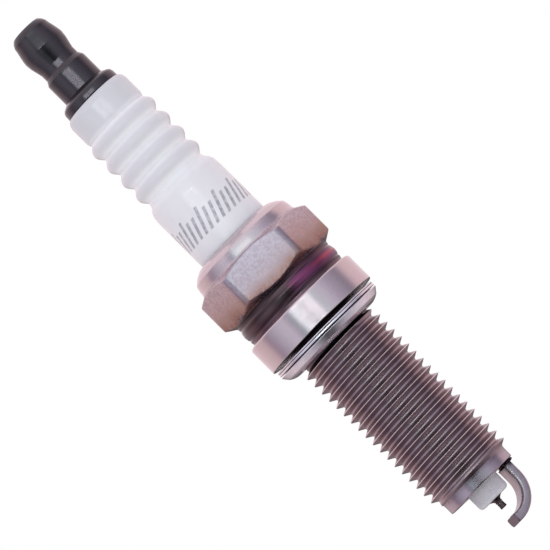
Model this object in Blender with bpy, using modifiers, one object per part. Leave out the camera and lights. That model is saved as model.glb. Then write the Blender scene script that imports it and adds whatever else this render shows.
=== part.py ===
"""A motorcycle spark plug: M12 x 1.25 long-reach thread, 16 mm hexagon, barrel terminal and fine-wire tip.

The origin is the centre of the gasket's sealing face. +Z runs along the axis towards the terminal. One flat
of the hexagon faces -Y, and the ground electrode stands STRAP_TURN degrees round from +X towards +Y. Lengths
below are in millimetres, radii and heights are from the axis and the sealing face, and MM makes them metres.
"""

import math

import bmesh
import bpy
from mathutils import Matrix, Vector

MM = 0.001
GAP = 0.2  # between pieces that touch on the real plug
THIN_GAP = 0.12  # the same, between its smallest pieces
SIDES = 24  # facets round every large turned piece
SMALL_SIDES = 16  # facets round the small inner ones

# Terminal
NUT_TOP = 53.8
NUT_TOP_FLAT_RADIUS = 1.7
NUT_BOTTOM = 43.65
NUT_BEAD_RADIUS = 3.06
NUT_BEAD_HEIGHT = 50.45
NUT_NECK_RADIUS = 2.62
NUT_NECK_TOP = 48.35
NUT_NECK_BOTTOM = 47.3
NUT_BARREL_RADIUS = 3.0
NUT_BARREL_TOP = 46.6
STUD_THREAD_RADIUS = 1.95
STUD_THREAD_ROOT = 1.55
STUD_THREAD_PITCH = 0.7
STUD_THREAD_STEPS = 8  # a turn
STUD_THREAD_BOTTOM = 44.2
STUD_TOP = 50.6
STUD_FLANGE_RADIUS = 4.06
STUD_FLANGE_TOP = NUT_BOTTOM - GAP
STUD_FLANGE_CUP_RADIUS = 3.15
STUD_SHANK_RADIUS = 1.7
STUD_TIP_RADIUS = 1.25

# Insulator
INSULATOR_TOP = 41.8
INSULATOR_LAND_RADIUS = 4.62
INSULATOR_BARREL_RADIUS = 5.27
RIB_COUNT = 4
RIB_PITCH = 2.52
RIB_CREST_RADIUS = 5.08
RIB_VALLEY_RADIUS = 4.38
TOP_RIB_HEIGHT = 36.6
CAVITY_RADIUS = 2.0  # the bore that holds the resistor
STEM_BORE_RADIUS = 1.25
INSULATOR_COLLAR_RADIUS = 6.45
INSULATOR_COLLAR_TOP = 10.1
INSULATOR_COLLAR_BOTTOM = 5.0
INSULATOR_NOSE_TOP = -10.1
NOSE_ROOT_RADIUS = 3.05
NOSE_TIP_RADIUS = 2.28
NOSE_TIP = -27.43

# Shell
CRIMP_TOP = 17.75
CRIMP_ROLL_RADIUS = 1.95
CRIMP_ROLL_HEIGHT = 15.8  # of the centre of its round shoulder
HEX_TOP = 14.9
HEX_BOTTOM = 9.3
HEX_ACROSS_FLATS = 16.0
HEX_CORNER_RADIUS = 8.94
HEX_ENDS_RADIUS = 7.65
GROOVE_RADIUS = 7.6
GROOVE_BULGE_RADIUS = 7.74
COLLAR_TOP = 6.5
SEAT_HEIGHT = 2.3
COLLAR_RADIUS = 8.33
NECK_RADIUS = 5.3
SHELL_WALL_RADIUS = 6.65  # inside, round the insulator's collar
SHELL_BORE_RADIUS = 3.87
SHELL_LEDGE_RADIUS = 3.3
SHELL_MOUTH_RADIUS = 3.6
SHELL_END = -25.13
PILOT_RADIUS = 5.1
THREAD_RADIUS = 5.95
THREAD_ROOT = 5.15
THREAD_PITCH = 1.25
THREAD_TOP = -0.3
THREAD_BOTTOM = -23.35
THREAD_STEPS = 16  # a turn

# Gasket
GASKET_RADIUS = 8.05
GASKET_BORE_RADIUS = 5.6
GASKET_TOP = SEAT_HEIGHT - GAP
GASKET_LAND_INNER = 6.1  # the flat foot clears the thread's crests
GASKET_LAND_OUTER = 6.7

# Centre electrode
HEAD_TOP = 3.3
HEAD_RADIUS = 1.8
STEM_RADIUS = 1.05
STEM_END = -27.45
CONE_END = -27.88
CONE_END_RADIUS = 0.5
TIP_WELD_THICKNESS = 0.22
KNOB_TOP = 4.3
CORE_BORE_RADIUS = 0.75
CORE_RADIUS = 0.6
CORE_END = -25.3
WIRE_RADIUS = 0.46
WIRE_END = -28.96

# Ground electrode, in its own plane: x is away from the axis
STRAP_TURN = 26.5
STRAP_WIDTH = 2.65
STRAP_THICKNESS = 1.22
STRAP_TOP = -25.75
STRAP_BEND_X = 0.12
STRAP_BEND_HEIGHT = -27.15
STRAP_OUTER_BEND = 4.4
STRAP_TIP_X = -0.5
STRAP_CORE_WIDTH = 1.1
STRAP_CORE_THICKNESS = 0.33
STRAP_CORE_TIP_ANGLE = -70.0
STRAP_EDGE_ROUNDING = 0.22
STRAP_WELD_INNER = 3.2
STRAP_WELD_OUTER = 4.95
STRAP_WELD_OVERHANG = 0.25  # past each edge of the strap
PAD_RADIUS = 0.4
PAD_THICKNESS = 0.13
PAD_GAP = 0.1  # over the curve of the strap's inner face

# Packings between insulator and shell
RING_WIRE_RADIUS = 0.4
RING_CENTRE_RADIUS = 6.05
LOWER_RING_HEIGHT = 11.1
UPPER_RING_HEIGHT = 16.25

# What fills the insulator's cavity, in line
LOWER_SEAL_TOP = 7.0
RESISTOR_TOP = 15.0
UPPER_SEAL_TOP = 20.0
STUD_TIP = 18.2


def clear_scene():
    for old in list(bpy.data.objects):
        bpy.data.objects.remove(old, do_unlink=True)


def collection(name, hidden=False):
    made = bpy.data.collections.new(name)
    made.hide_render = hidden
    bpy.context.scene.collection.children.link(made)
    return made


def material(name, colour, roughness, metallic=0.0):
    made = bpy.data.materials.new(name)
    made.use_nodes = True
    shader = made.node_tree.nodes["Principled BSDF"]
    shader.inputs["Base Color"].default_value = (*colour, 1.0)
    shader.inputs["Roughness"].default_value = roughness
    shader.inputs["Metallic"].default_value = metallic
    return made


clear_scene()
parts = collection("spark_plug")
cutters = collection("cutters", hidden=True)

steel = material("plated steel", (0.52, 0.5, 0.5), 0.35, 1.0)
dark_steel = material("blackened steel", (0.035, 0.034, 0.036), 0.35, 0.6)
nickel_plate = material("nickel plate", (0.6, 0.52, 0.5), 0.22, 1.0)
gasket_steel = material("gasket steel", (0.62, 0.6, 0.6), 0.25, 1.0)
nickel = material("nickel alloy", (0.4, 0.36, 0.36), 0.35, 1.0)
weld_metal = material("weld flash", (0.16, 0.13, 0.13), 0.5, 1.0)
precious_metal = material("precious metal", (0.5, 0.49, 0.47), 0.3, 1.0)
copper = material("copper", (0.72, 0.36, 0.22), 0.3, 1.0)
ceramic = material("glazed ceramic", (0.83, 0.82, 0.85), 0.1)
seal_glass = material("conductive glass", (0.05, 0.05, 0.055), 0.3)
resistor_body = material("resistor", (0.08, 0.07, 0.06), 0.7)
talc = material("talc", (0.75, 0.74, 0.7), 0.9)


def arc(centre_r, centre_z, radius, start, end, steps):
    """Points on an arc of the profile, with angles in degrees from the outward direction towards +Z."""
    angles = [math.radians(start + (end - start) * i / steps) for i in range(steps + 1)]
    return [(centre_r + radius * math.cos(a), centre_z + radius * math.sin(a)) for a in angles]


def new_object(name, mesh, paint, group=None):
    made = bpy.data.objects.new(name, mesh)
    made.data.materials.append(paint)
    (group or parts).objects.link(made)
    return made


def freeze(obj, crease=35.0):
    """Turns the object's modifiers into its mesh, and shades it smooth except across its real edges."""
    bpy.context.view_layer.update()
    evaluated = obj.evaluated_get(bpy.context.evaluated_depsgraph_get())
    mesh = bpy.data.meshes.new_from_object(evaluated)
    mesh.name = obj.name
    obj.modifiers.clear()
    obj.data = mesh
    mesh.shade_smooth()
    mesh.set_sharp_from_angle(angle=math.radians(crease))
    return obj


def turned(name, profile, paint, sides=SIDES, ring=False, group=None):
    """A turned solid. Its profile runs down the outer side; a ring's goes back up the inner side."""
    mesh = bpy.data.meshes.new(name)
    count = len(profile)
    edges = [(i, (i + 1) % count) for i in range(count if ring else count - 1)]
    mesh.from_pydata([(r * MM, 0.0, z * MM) for r, z in profile], edges, [])
    made = new_object(name, mesh, paint, group)
    screw = made.modifiers.new("Turn", "SCREW")
    screw.steps = screw.render_steps = sides
    screw.use_merge_vertices = True
    screw.merge_threshold = 0.01 * MM
    return freeze(made)


def boolean(obj, operation, other=None, others=None):
    cut = obj.modifiers.new(operation.title(), "BOOLEAN")
    cut.operation = operation
    cut.solver = "EXACT"
    if others:
        cut.operand_type = "COLLECTION"
        cut.collection = others
    else:
        cut.object = other
    return cut


def hide_helper(obj):
    obj.hide_render = True
    obj.display_type = "WIRE"


def thread(name, crest, root, pitch, top, bottom, steps):
    """A right-hand helical ridge with 60 degree flanks, faded ends and a foot sunk below the root."""
    foot = root - 0.3
    half_crest = pitch / 16
    half_root = half_crest + (crest - root) * math.tan(math.radians(30))
    outline = [(foot, half_root), (root, half_root), (crest, half_crest)]
    outline += [(r, -z) for r, z in reversed(outline)]
    start = bottom - pitch / 2
    mesh = bpy.data.meshes.new(name)
    edges = [(i, (i + 1) % len(outline)) for i in range(len(outline))]
    mesh.from_pydata([(r * MM, 0.0, (z + start) * MM) for r, z in outline], edges, [])
    ridge = new_object(name, mesh, steel, cutters)
    screw = ridge.modifiers.new("Helix", "SCREW")
    screw.steps = screw.render_steps = steps
    screw.screw_offset = pitch * MM
    screw.iterations = math.ceil((top - bottom) / pitch) + 1
    freeze(ridge)
    shape = bmesh.new()
    shape.from_mesh(ridge.data)
    bmesh.ops.holes_fill(shape, edges=[e for e in shape.edges if e.is_boundary])
    bmesh.ops.recalc_face_normals(shape, faces=shape.faces)
    shape.to_mesh(ridge.data)
    shape.free()
    fade = crest - root
    envelope = turned(
        name + "_envelope",
        [(0, top), (root - 0.1, top), (crest + 0.1, top - fade), (crest + 0.1, bottom + fade),
         (root - 0.1, bottom), (0, bottom)],
        steel, sides=steps, group=cutters,
    )
    hide_helper(envelope)
    boolean(ridge, "INTERSECT", envelope)
    freeze(ridge)
    hide_helper(ridge)
    return ridge


def make_terminal_nut():
    """The barrel terminal: a bead that the plug cap clips over, a neck groove and a threaded lower barrel."""
    bore = STUD_THREAD_RADIUS + THIN_GAP
    profile = [
        (0, NUT_TOP), (NUT_TOP_FLAT_RADIUS, NUT_TOP), (2.15, 53.6), (2.4, 53.3), (2.62, 52.9), (2.72, 52.4),
        (2.9, 51.6), (3.03, 50.9), (NUT_BEAD_RADIUS, NUT_BEAD_HEIGHT), (2.95, 49.7), (2.75, 48.8),
        (NUT_NECK_RADIUS, NUT_NECK_TOP), (NUT_NECK_RADIUS, NUT_NECK_BOTTOM),
        (NUT_BARREL_RADIUS, NUT_BARREL_TOP), (NUT_BARREL_RADIUS, NUT_BOTTOM + 0.15),
        (NUT_BARREL_RADIUS - 0.15, NUT_BOTTOM), (bore + 0.2, NUT_BOTTOM),
        (bore, NUT_BOTTOM + 0.2), (bore, STUD_TOP + 0.4), (0, STUD_TOP + 1.0),
    ]
    return turned("terminal_nut", profile, dark_steel)


def make_terminal_stud():
    """The steel stud: M4 thread, round flange on the ceramic, shank and grooved tip held in the glass."""
    profile = [
        (0, STUD_TOP), (1.3, STUD_TOP),
        (STUD_THREAD_ROOT, STUD_TOP - 0.3), (STUD_THREAD_ROOT, STUD_THREAD_BOTTOM),
        (1.75, STUD_FLANGE_TOP), (STUD_FLANGE_CUP_RADIUS, STUD_FLANGE_TOP), (3.5, 43.3), (3.93, 42.9),
        (STUD_FLANGE_RADIUS, 42.5),
        (STUD_FLANGE_RADIUS, INSULATOR_TOP + GAP), (STUD_SHANK_RADIUS, INSULATOR_TOP + GAP),
        (STUD_SHANK_RADIUS, UPPER_SEAL_TOP + 1.0), (STUD_TIP_RADIUS, UPPER_SEAL_TOP + 0.5),
    ]
    groove_pitch = 0.6
    height = UPPER_SEAL_TOP + 0.2
    while height - groove_pitch > STUD_TIP:
        profile += [(STUD_TIP_RADIUS, height), (STUD_TIP_RADIUS - 0.15, height - groove_pitch / 2)]
        height -= groove_pitch
    profile += [(STUD_TIP_RADIUS, height), (STUD_TIP_RADIUS - 0.2, STUD_TIP), (0, STUD_TIP)]
    stud = turned("terminal_stud", profile, dark_steel, sides=SMALL_SIDES)
    ridge = thread("stud_ridge", STUD_THREAD_RADIUS, STUD_THREAD_ROOT, STUD_THREAD_PITCH,
                   STUD_TOP - 0.1, STUD_THREAD_BOTTOM, STUD_THREAD_STEPS)
    boolean(stud, "UNION", ridge)
    return freeze(stud)


def rib_radius(height):
    """The outline of the ribs: broad round crests with narrower round valleys."""
    swing = 0.5 + 0.5 * math.cos(2 * math.pi * (height - TOP_RIB_HEIGHT) / RIB_PITCH)
    return RIB_VALLEY_RADIUS + (RIB_CREST_RADIUS - RIB_VALLEY_RADIUS) * swing**0.7


def make_insulator():
    """The ceramic: land, ribs, barrel, the collar inside the shell, the nose and a stepped through bore."""
    points_a_rib = 6
    first = TOP_RIB_HEIGHT + RIB_PITCH / 2
    ribs = [first - RIB_PITCH * i / points_a_rib for i in range(RIB_COUNT * points_a_rib + 1)]
    profile = [(4.1, INSULATOR_TOP), (4.42, 41.65), (INSULATOR_LAND_RADIUS - 0.04, 41.3),
               (INSULATOR_LAND_RADIUS, 38.3)]
    profile += [(rib_radius(z), z) for z in ribs]
    profile += [
        (5.0, 26.9), (5.18, 26.4), (INSULATOR_BARREL_RADIUS, 25.6), (INSULATOR_BARREL_RADIUS, 10.65),
        (6.0, 10.5), (INSULATOR_COLLAR_RADIUS, INSULATOR_COLLAR_TOP),
        (INSULATOR_COLLAR_RADIUS, INSULATOR_COLLAR_BOTTOM), (3.65, 3.0), (3.65, INSULATOR_NOSE_TOP + 0.6),
        (NOSE_ROOT_RADIUS, INSULATOR_NOSE_TOP), (NOSE_TIP_RADIUS + 0.05, -23.5),
        (NOSE_TIP_RADIUS, NOSE_TIP + 0.5),
    ]
    profile += arc(NOSE_TIP_RADIUS - 0.45, NOSE_TIP + 0.45, 0.45, -20, -90, 3)
    profile += [(STEM_BORE_RADIUS, NOSE_TIP), (STEM_BORE_RADIUS, 1.55), (CAVITY_RADIUS, 2.3),
                (CAVITY_RADIUS, INSULATOR_TOP)]
    return turned("insulator", profile, ceramic, ring=True)


def shell_profile():
    """The blank's outline, from the crimped lip down to the open end and back up the stepped bore."""
    hex_chamfer = HEX_CORNER_RADIUS - HEX_ENDS_RADIUS
    lip = INSULATOR_BARREL_RADIUS + GAP
    outside = [(lip, CRIMP_TOP - 0.25), (lip + 0.1, CRIMP_TOP)]
    outside += arc(HEX_ENDS_RADIUS - CRIMP_ROLL_RADIUS - 0.05, CRIMP_ROLL_HEIGHT, CRIMP_ROLL_RADIUS, 72, 0, 5)
    outside += [
        (HEX_ENDS_RADIUS, HEX_TOP), (HEX_CORNER_RADIUS, HEX_TOP - hex_chamfer * 0.6),
        (HEX_CORNER_RADIUS, HEX_BOTTOM + hex_chamfer * 0.75), (HEX_ENDS_RADIUS, HEX_BOTTOM),
        (GROOVE_RADIUS, 9.0), (GROOVE_BULGE_RADIUS, 7.9), (GROOVE_RADIUS, COLLAR_TOP),
        (COLLAR_RADIUS - 0.2, COLLAR_TOP), (COLLAR_RADIUS, COLLAR_TOP - 0.2),
        (COLLAR_RADIUS, SEAT_HEIGHT + 0.25), (COLLAR_RADIUS - 0.25, SEAT_HEIGHT), (NECK_RADIUS, SEAT_HEIGHT),
        (NECK_RADIUS, THREAD_TOP), (THREAD_ROOT, THREAD_TOP - 0.2), (THREAD_ROOT, THREAD_BOTTOM),
        (PILOT_RADIUS, THREAD_BOTTOM - 0.1), (PILOT_RADIUS, SHELL_END + 0.1), (PILOT_RADIUS - 0.1, SHELL_END),
    ]
    inside = [
        (SHELL_MOUTH_RADIUS, SHELL_END), (SHELL_MOUTH_RADIUS, -12.6), (SHELL_LEDGE_RADIUS, -12.3),
        (SHELL_LEDGE_RADIUS, -10.7), (SHELL_BORE_RADIUS, -10.13), (SHELL_BORE_RADIUS, 2.75),
        (SHELL_WALL_RADIUS, 4.75), (SHELL_WALL_RADIUS, 16.35), (6.45, 16.75), (5.9, 17.05),
    ]
    return outside + inside


def make_shell():
    """The steel body in one piece: crimp, hexagon, buckle groove, collar, M12 thread and pilot."""
    shell = turned("shell", shell_profile(), nickel_plate, ring=True)
    flats = collection("hexagon_cutters", hidden=True)
    depth = 4 * MM
    for i in range(6):
        angle = math.radians(30 + 60 * i)
        distance = HEX_ACROSS_FLATS / 2 * MM + depth / 2
        bpy.ops.mesh.primitive_cube_add(size=1.0)
        flat = bpy.context.object
        flat.name = f"hexagon_cutter_{i + 1}"
        size = Vector((depth, 12 * MM, (HEX_TOP - HEX_BOTTOM + 0.8) * MM))
        place = Matrix.Translation((0, 0, (HEX_TOP + HEX_BOTTOM) / 2 * MM)) @ Matrix.Rotation(angle, 4, "Z")
        flat.data.transform(place @ Matrix.Translation((distance, 0, 0)) @ Matrix.Diagonal(size).to_4x4())
        for group in list(flat.users_collection):
            group.objects.unlink(flat)
        flats.objects.link(flat)
        hide_helper(flat)
    boolean(shell, "DIFFERENCE", others=flats)
    ridge = thread("shell_ridge", THREAD_RADIUS, THREAD_ROOT, THREAD_PITCH,
                   THREAD_TOP, THREAD_BOTTOM, THREAD_STEPS)
    boolean(shell, "UNION", ridge)
    return freeze(shell)


def make_gasket():
    """The folded sheet ring, captive on the neck: flat top layer, seam and rolled foot."""
    profile = [
        (GASKET_RADIUS - 0.1, GASKET_TOP), (GASKET_RADIUS, GASKET_TOP - 0.1), (GASKET_RADIUS, 1.62),
        (7.3, 1.55), (7.3, 1.45), (GASKET_RADIUS, 1.38), (7.85, 1.0), (7.55, 0.6), (7.15, 0.25),
        (GASKET_LAND_OUTER, 0), (GASKET_LAND_INNER, 0), (GASKET_BORE_RADIUS, 0.4),
        (GASKET_BORE_RADIUS, GASKET_TOP),
    ]
    return turned("gasket", profile, gasket_steel, ring=True)


def make_packings():
    """What seals the insulator in the shell: two wire rings with talc between, and the seat washer."""
    rings = {"lower_packing_ring": LOWER_RING_HEIGHT, "upper_packing_ring": UPPER_RING_HEIGHT}
    for name, height in rings.items():
        section = arc(RING_CENTRE_RADIUS, height, RING_WIRE_RADIUS, 90, -210, 5)
        turned(name, section, steel, ring=True)
    inner = INSULATOR_BARREL_RADIUS + GAP
    outer = SHELL_WALL_RADIUS - GAP
    top = UPPER_RING_HEIGHT - RING_WIRE_RADIUS - GAP
    bottom = LOWER_RING_HEIGHT + RING_WIRE_RADIUS + GAP
    turned("talc_ring", [(outer, top), (outer, bottom), (inner, bottom), (inner, top)], talc, ring=True)
    washer = [(3.7, -9.66), (3.7, -10.08), (3.27, -10.51), (3.27, -10.09)]
    turned("seat_packing", washer, steel, ring=True)


def make_cavity_fill():
    """The parts in line inside the ceramic: glass, resistor, glass."""
    radius = CAVITY_RADIUS - GAP
    knob = STEM_RADIUS + GAP
    socket = STUD_TIP_RADIUS + THIN_GAP
    turned(
        "lower_glass_seal",
        [(0, LOWER_SEAL_TOP), (radius, LOWER_SEAL_TOP), (radius, HEAD_TOP + GAP), (knob, HEAD_TOP + GAP),
         (knob, KNOB_TOP + GAP), (0, KNOB_TOP + GAP)],
        seal_glass, sides=SMALL_SIDES,
    )
    turned(
        "resistor",
        [(0, RESISTOR_TOP), (radius, RESISTOR_TOP),
         (radius, LOWER_SEAL_TOP + GAP), (0, LOWER_SEAL_TOP + GAP)],
        resistor_body, sides=SMALL_SIDES,
    )
    turned(
        "upper_glass_seal",
        [(0, STUD_TIP - GAP), (socket, STUD_TIP - GAP), (socket, UPPER_SEAL_TOP), (radius, UPPER_SEAL_TOP),
         (radius, RESISTOR_TOP + GAP), (0, RESISTOR_TOP + GAP)],
        seal_glass, sides=SMALL_SIDES,
    )


def make_center_electrode():
    """The headed nickel electrode with its copper core, the weld bead and the fine wire on its cone."""
    neck = 1.6
    profile = [
        (0, CORE_END - 2 * GAP), (CORE_BORE_RADIUS, CORE_END - GAP), (CORE_BORE_RADIUS, KNOB_TOP),
        (STEM_RADIUS, KNOB_TOP),
        (STEM_RADIUS, HEAD_TOP), (HEAD_RADIUS, HEAD_TOP), (HEAD_RADIUS, neck + 0.75), (STEM_RADIUS, neck),
        (STEM_RADIUS, STEM_END), (CONE_END_RADIUS, CONE_END), (0, CONE_END),
    ]
    turned("center_electrode", profile, nickel, sides=SMALL_SIDES)
    turned(
        "center_electrode_core",
        [(0, KNOB_TOP - 0.1), (CORE_RADIUS, KNOB_TOP - 0.1), (CORE_RADIUS, CORE_END), (0, CORE_END)],
        copper, sides=SMALL_SIDES,
    )
    weld_top = CONE_END - THIN_GAP
    weld_bottom = weld_top - TIP_WELD_THICKNESS
    wire_top = weld_bottom - THIN_GAP
    turned(
        "center_tip_weld",
        [(0, weld_top), (CONE_END_RADIUS, weld_top), (CONE_END_RADIUS + 0.02, weld_top - 0.1),
         (WIRE_RADIUS, weld_bottom), (0, weld_bottom)],
        nickel, sides=SMALL_SIDES,
    )
    turned(
        "center_tip",
        [(0, wire_top), (WIRE_RADIUS, wire_top), (WIRE_RADIUS, WIRE_END), (0, WIRE_END)],
        precious_metal, sides=SMALL_SIDES,
    )


def strap_outline(inset, top, tip_x=None, tip_angle=-90.0):
    """The J in its own plane, each face inset by the same amount: down, round the bend, and back."""
    steps = 9
    outer = STRAP_OUTER_BEND - inset
    inner = STRAP_OUTER_BEND - STRAP_THICKNESS + inset
    far_side = arc(STRAP_BEND_X, STRAP_BEND_HEIGHT, outer, 0, tip_angle, steps)
    near_side = arc(STRAP_BEND_X, STRAP_BEND_HEIGHT, inner, tip_angle, 0, steps)
    tip = []
    if tip_x is not None:
        tip = [(tip_x, STRAP_BEND_HEIGHT - outer), (tip_x, STRAP_BEND_HEIGHT - inner)]
    return [(STRAP_BEND_X + outer, top)] + far_side + tip + near_side + [(STRAP_BEND_X + inner, top)]


def flat_piece(name, outline, width, paint, group=None):
    """An outline in the strap's plane, given its width and turned to the strap's place."""
    drawing = bpy.data.curves.new(name, "CURVE")
    drawing.dimensions = "2D"
    drawing.fill_mode = "BOTH"
    drawing.extrude = width / 2 * MM
    spline = drawing.splines.new("POLY")
    spline.points.add(len(outline) - 1)
    for point, (x, z) in zip(spline.points, outline):
        point.co = (x * MM, z * MM, 0, 1)
    spline.use_cyclic_u = True
    drawn = bpy.data.objects.new(name + "_drawing", drawing)
    turn = Matrix.Rotation(math.radians(STRAP_TURN), 4, "Z")
    upright = Matrix.Rotation(math.radians(90), 4, "X")
    drawn.matrix_world = turn @ upright
    cutters.objects.link(drawn)
    bpy.context.view_layer.update()
    mesh = bpy.data.meshes.new_from_object(drawn.evaluated_get(bpy.context.evaluated_depsgraph_get()))
    shape = bmesh.new()
    shape.from_mesh(mesh)
    bmesh.ops.remove_doubles(shape, verts=shape.verts, dist=0.001 * MM)
    bmesh.ops.recalc_face_normals(shape, faces=shape.faces)
    shape.to_mesh(mesh)
    shape.free()
    made = new_object(name, mesh, paint, group)
    made.matrix_world = drawn.matrix_world.copy()
    bpy.data.objects.remove(drawn)
    return made


def make_ground_electrode():
    """The strap over the tip, its copper core, the weld at its root and the pad that faces the wire."""
    strap = flat_piece("ground_electrode", strap_outline(0, STRAP_TOP, STRAP_TIP_X), STRAP_WIDTH, nickel)
    edges = strap.modifiers.new("Rounded edges", "BEVEL")
    edges.width = STRAP_EDGE_ROUNDING * MM
    edges.segments = 2
    edges.angle_limit = math.radians(50)
    wall = (STRAP_THICKNESS - STRAP_CORE_THICKNESS) / 2
    slot = flat_piece(
        "strap_core_slot",
        strap_outline(wall - THIN_GAP, STRAP_TOP + 1, tip_angle=STRAP_CORE_TIP_ANGLE - 3),
        STRAP_CORE_WIDTH + 2 * THIN_GAP, nickel, cutters,
    )
    hide_helper(slot)
    boolean(strap, "DIFFERENCE", slot)
    freeze(strap)
    core = flat_piece(
        "ground_electrode_core",
        strap_outline(wall, STRAP_TOP - 0.05, tip_angle=STRAP_CORE_TIP_ANGLE), STRAP_CORE_WIDTH, copper,
    )
    freeze(core)
    weld_top = SHELL_END - THIN_GAP
    weld_bottom = STRAP_TOP + THIN_GAP
    outline = [
        (STRAP_WELD_INNER, weld_top), (STRAP_WELD_INNER, weld_bottom + 0.15),
        (STRAP_WELD_INNER + 0.1, weld_bottom), (STRAP_WELD_OUTER - 0.1, weld_bottom),
        (STRAP_WELD_OUTER, weld_bottom + 0.15), (STRAP_WELD_OUTER, weld_top),
    ]
    weld = flat_piece("ground_electrode_weld", outline, STRAP_WIDTH + 2 * STRAP_WELD_OVERHANG, weld_metal)
    rounded = weld.modifiers.new("Rounded edges", "BEVEL")
    rounded.width = 0.1 * MM
    rounded.segments = 1
    rounded.angle_limit = math.radians(50)
    freeze(weld)
    pad_bottom = STRAP_BEND_HEIGHT - STRAP_OUTER_BEND + STRAP_THICKNESS + PAD_GAP
    turned(
        "ground_tip",
        [(0, pad_bottom + PAD_THICKNESS), (PAD_RADIUS, pad_bottom + PAD_THICKNESS), (PAD_RADIUS, pad_bottom),
         (0, pad_bottom)],
        precious_metal, sides=SMALL_SIDES,
    )


make_terminal_nut()
make_terminal_stud()
make_insulator()
make_cavity_fill()
make_center_electrode()
make_packings()
make_shell()
make_gasket()
make_ground_electrode()
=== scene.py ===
"""The looks of a motorcycle spark plug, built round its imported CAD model.

Lengths are in millimetres in the plug's own frame, except where a comment says otherwise. In that frame
z = 0 is on the gasket's sealing face, +Z runs towards the terminal and -Y out of one flat of the hexagon.
Heights and radii that the CAD model settles are read from its boxes.
"""

import math

import bmesh
import bpy
import numpy as np
from mathutils import Matrix, Vector


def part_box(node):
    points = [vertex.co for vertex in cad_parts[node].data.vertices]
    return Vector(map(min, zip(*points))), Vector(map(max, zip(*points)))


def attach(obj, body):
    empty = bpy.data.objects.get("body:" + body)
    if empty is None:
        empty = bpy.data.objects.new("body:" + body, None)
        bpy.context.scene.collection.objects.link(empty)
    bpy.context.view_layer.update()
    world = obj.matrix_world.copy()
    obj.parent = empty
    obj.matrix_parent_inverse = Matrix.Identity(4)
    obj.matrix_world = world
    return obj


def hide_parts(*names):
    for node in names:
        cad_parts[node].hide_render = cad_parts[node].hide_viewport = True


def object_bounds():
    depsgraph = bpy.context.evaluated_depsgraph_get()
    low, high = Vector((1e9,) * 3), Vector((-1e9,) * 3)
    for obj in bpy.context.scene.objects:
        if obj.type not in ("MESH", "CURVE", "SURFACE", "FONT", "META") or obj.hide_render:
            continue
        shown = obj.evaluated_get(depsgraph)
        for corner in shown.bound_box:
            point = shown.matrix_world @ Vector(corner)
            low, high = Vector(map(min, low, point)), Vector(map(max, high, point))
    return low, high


MM = 0.001  # metres
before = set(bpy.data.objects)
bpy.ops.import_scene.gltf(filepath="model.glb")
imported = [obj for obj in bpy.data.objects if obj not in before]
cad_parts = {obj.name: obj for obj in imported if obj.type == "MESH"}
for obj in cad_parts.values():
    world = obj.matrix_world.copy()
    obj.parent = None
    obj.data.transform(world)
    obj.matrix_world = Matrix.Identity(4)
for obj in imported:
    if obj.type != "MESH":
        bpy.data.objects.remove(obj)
cad_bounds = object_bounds()


def span(node):
    """(bottom, top, largest radius) of a turned CAD node, in millimetres."""
    low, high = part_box(node)
    return low.z / MM, high.z / MM, max(high.x, high.y, -low.x, -low.y) / MM


SIDES = 180  # columns round the large turned pieces
FINE_SIDES = 96  # and round the small ones
WELD_DISTANCE = 1e-4  # how close the points are that become one
NUT_BOTTOM, NUT_TOP, NUT_RADIUS = span("terminal_nut")
NOSE_TIP, INSULATOR_TOP, _ = span("insulator")
SHELL_END, CRIMP_TOP, HEX_CORNER = span("shell")
_, GASKET_TOP, GASKET_RADIUS = span("gasket")
WIRE_END, _, WIRE_RADIUS = span("center_tip")
STRAP_BOTTOM = span("ground_electrode")[0]

HEX_ACROSS_FLATS = 15.82  # 16 mm nominal, on the small side of its tolerance
HEX_TOP = 14.9
HEX_BOTTOM = 9.3
HEX_CORNER_ROUNDING = 0.12
HEX_CUT_BOTTOM = HEX_BOTTOM - 0.5  # the zone in which the blank is cut to a hexagon
HEX_CUT_TOP = HEX_TOP + 0.6
HEX_CUT_RADIUS = 7.0
COLLAR_TOP = 6.3
SEAT = 2.3
COLLAR_RADIUS = 8.33
NECK_RADIUS = 5.3
GASKET_TILT = math.radians(2.0)  # the loose ring hangs a little lower in front
THREAD_TOP = -0.1
THREAD_BOTTOM = -23.6
THREAD_PITCH = 1.25
THREAD_CREST = 5.95
THREAD_ROOT = 5.15
BARREL_RADIUS = 5.27
CRIMP_RADIUS = BARREL_RADIUS + 0.06
LIP_HEIGHT = 17.2  # where the crimp's lip stops, close round the ceramic
RIB_PITCH = 2.52
RIB_COUNT = 4
TOP_RIB = 36.6
RIB_CREST = 5.08
RIB_VALLEY = 4.24
STRAP_TURN = math.radians(26.5)
STRAP_WIDTH = 2.65
STRAP_THICKNESS = 1.22
STRAP_OUTER_BEND = 4.4
STRAP_BEND_X = 0.12
STRAP_TIP_X = -0.46
TICK_BOTTOM = 19.8
TICK_TOP = 23.2
TICK_STEP = 0.7  # what the short ticks lack
TICK_COUNT = 33
TICK_LEAN = 70.0  # radians round the barrel per metre up it
TICK_EDGE = 0.12
BARREL_TOP = (26.0, 27.5)  # where the plain barrel's painted shade gives way to the ribs' lighter glaze
GLAZE_END = (-9.5, -9.0)  # where the glaze thins out to the bare nose
GASKET_SEAM = (1.27, 1.43)
DRAWING_MARKS = (2.5, 2.5, 0.6)  # how drawn wire's grain is stretched along it


# ---------------------------------------------------------------- outlines and meshes


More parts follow.
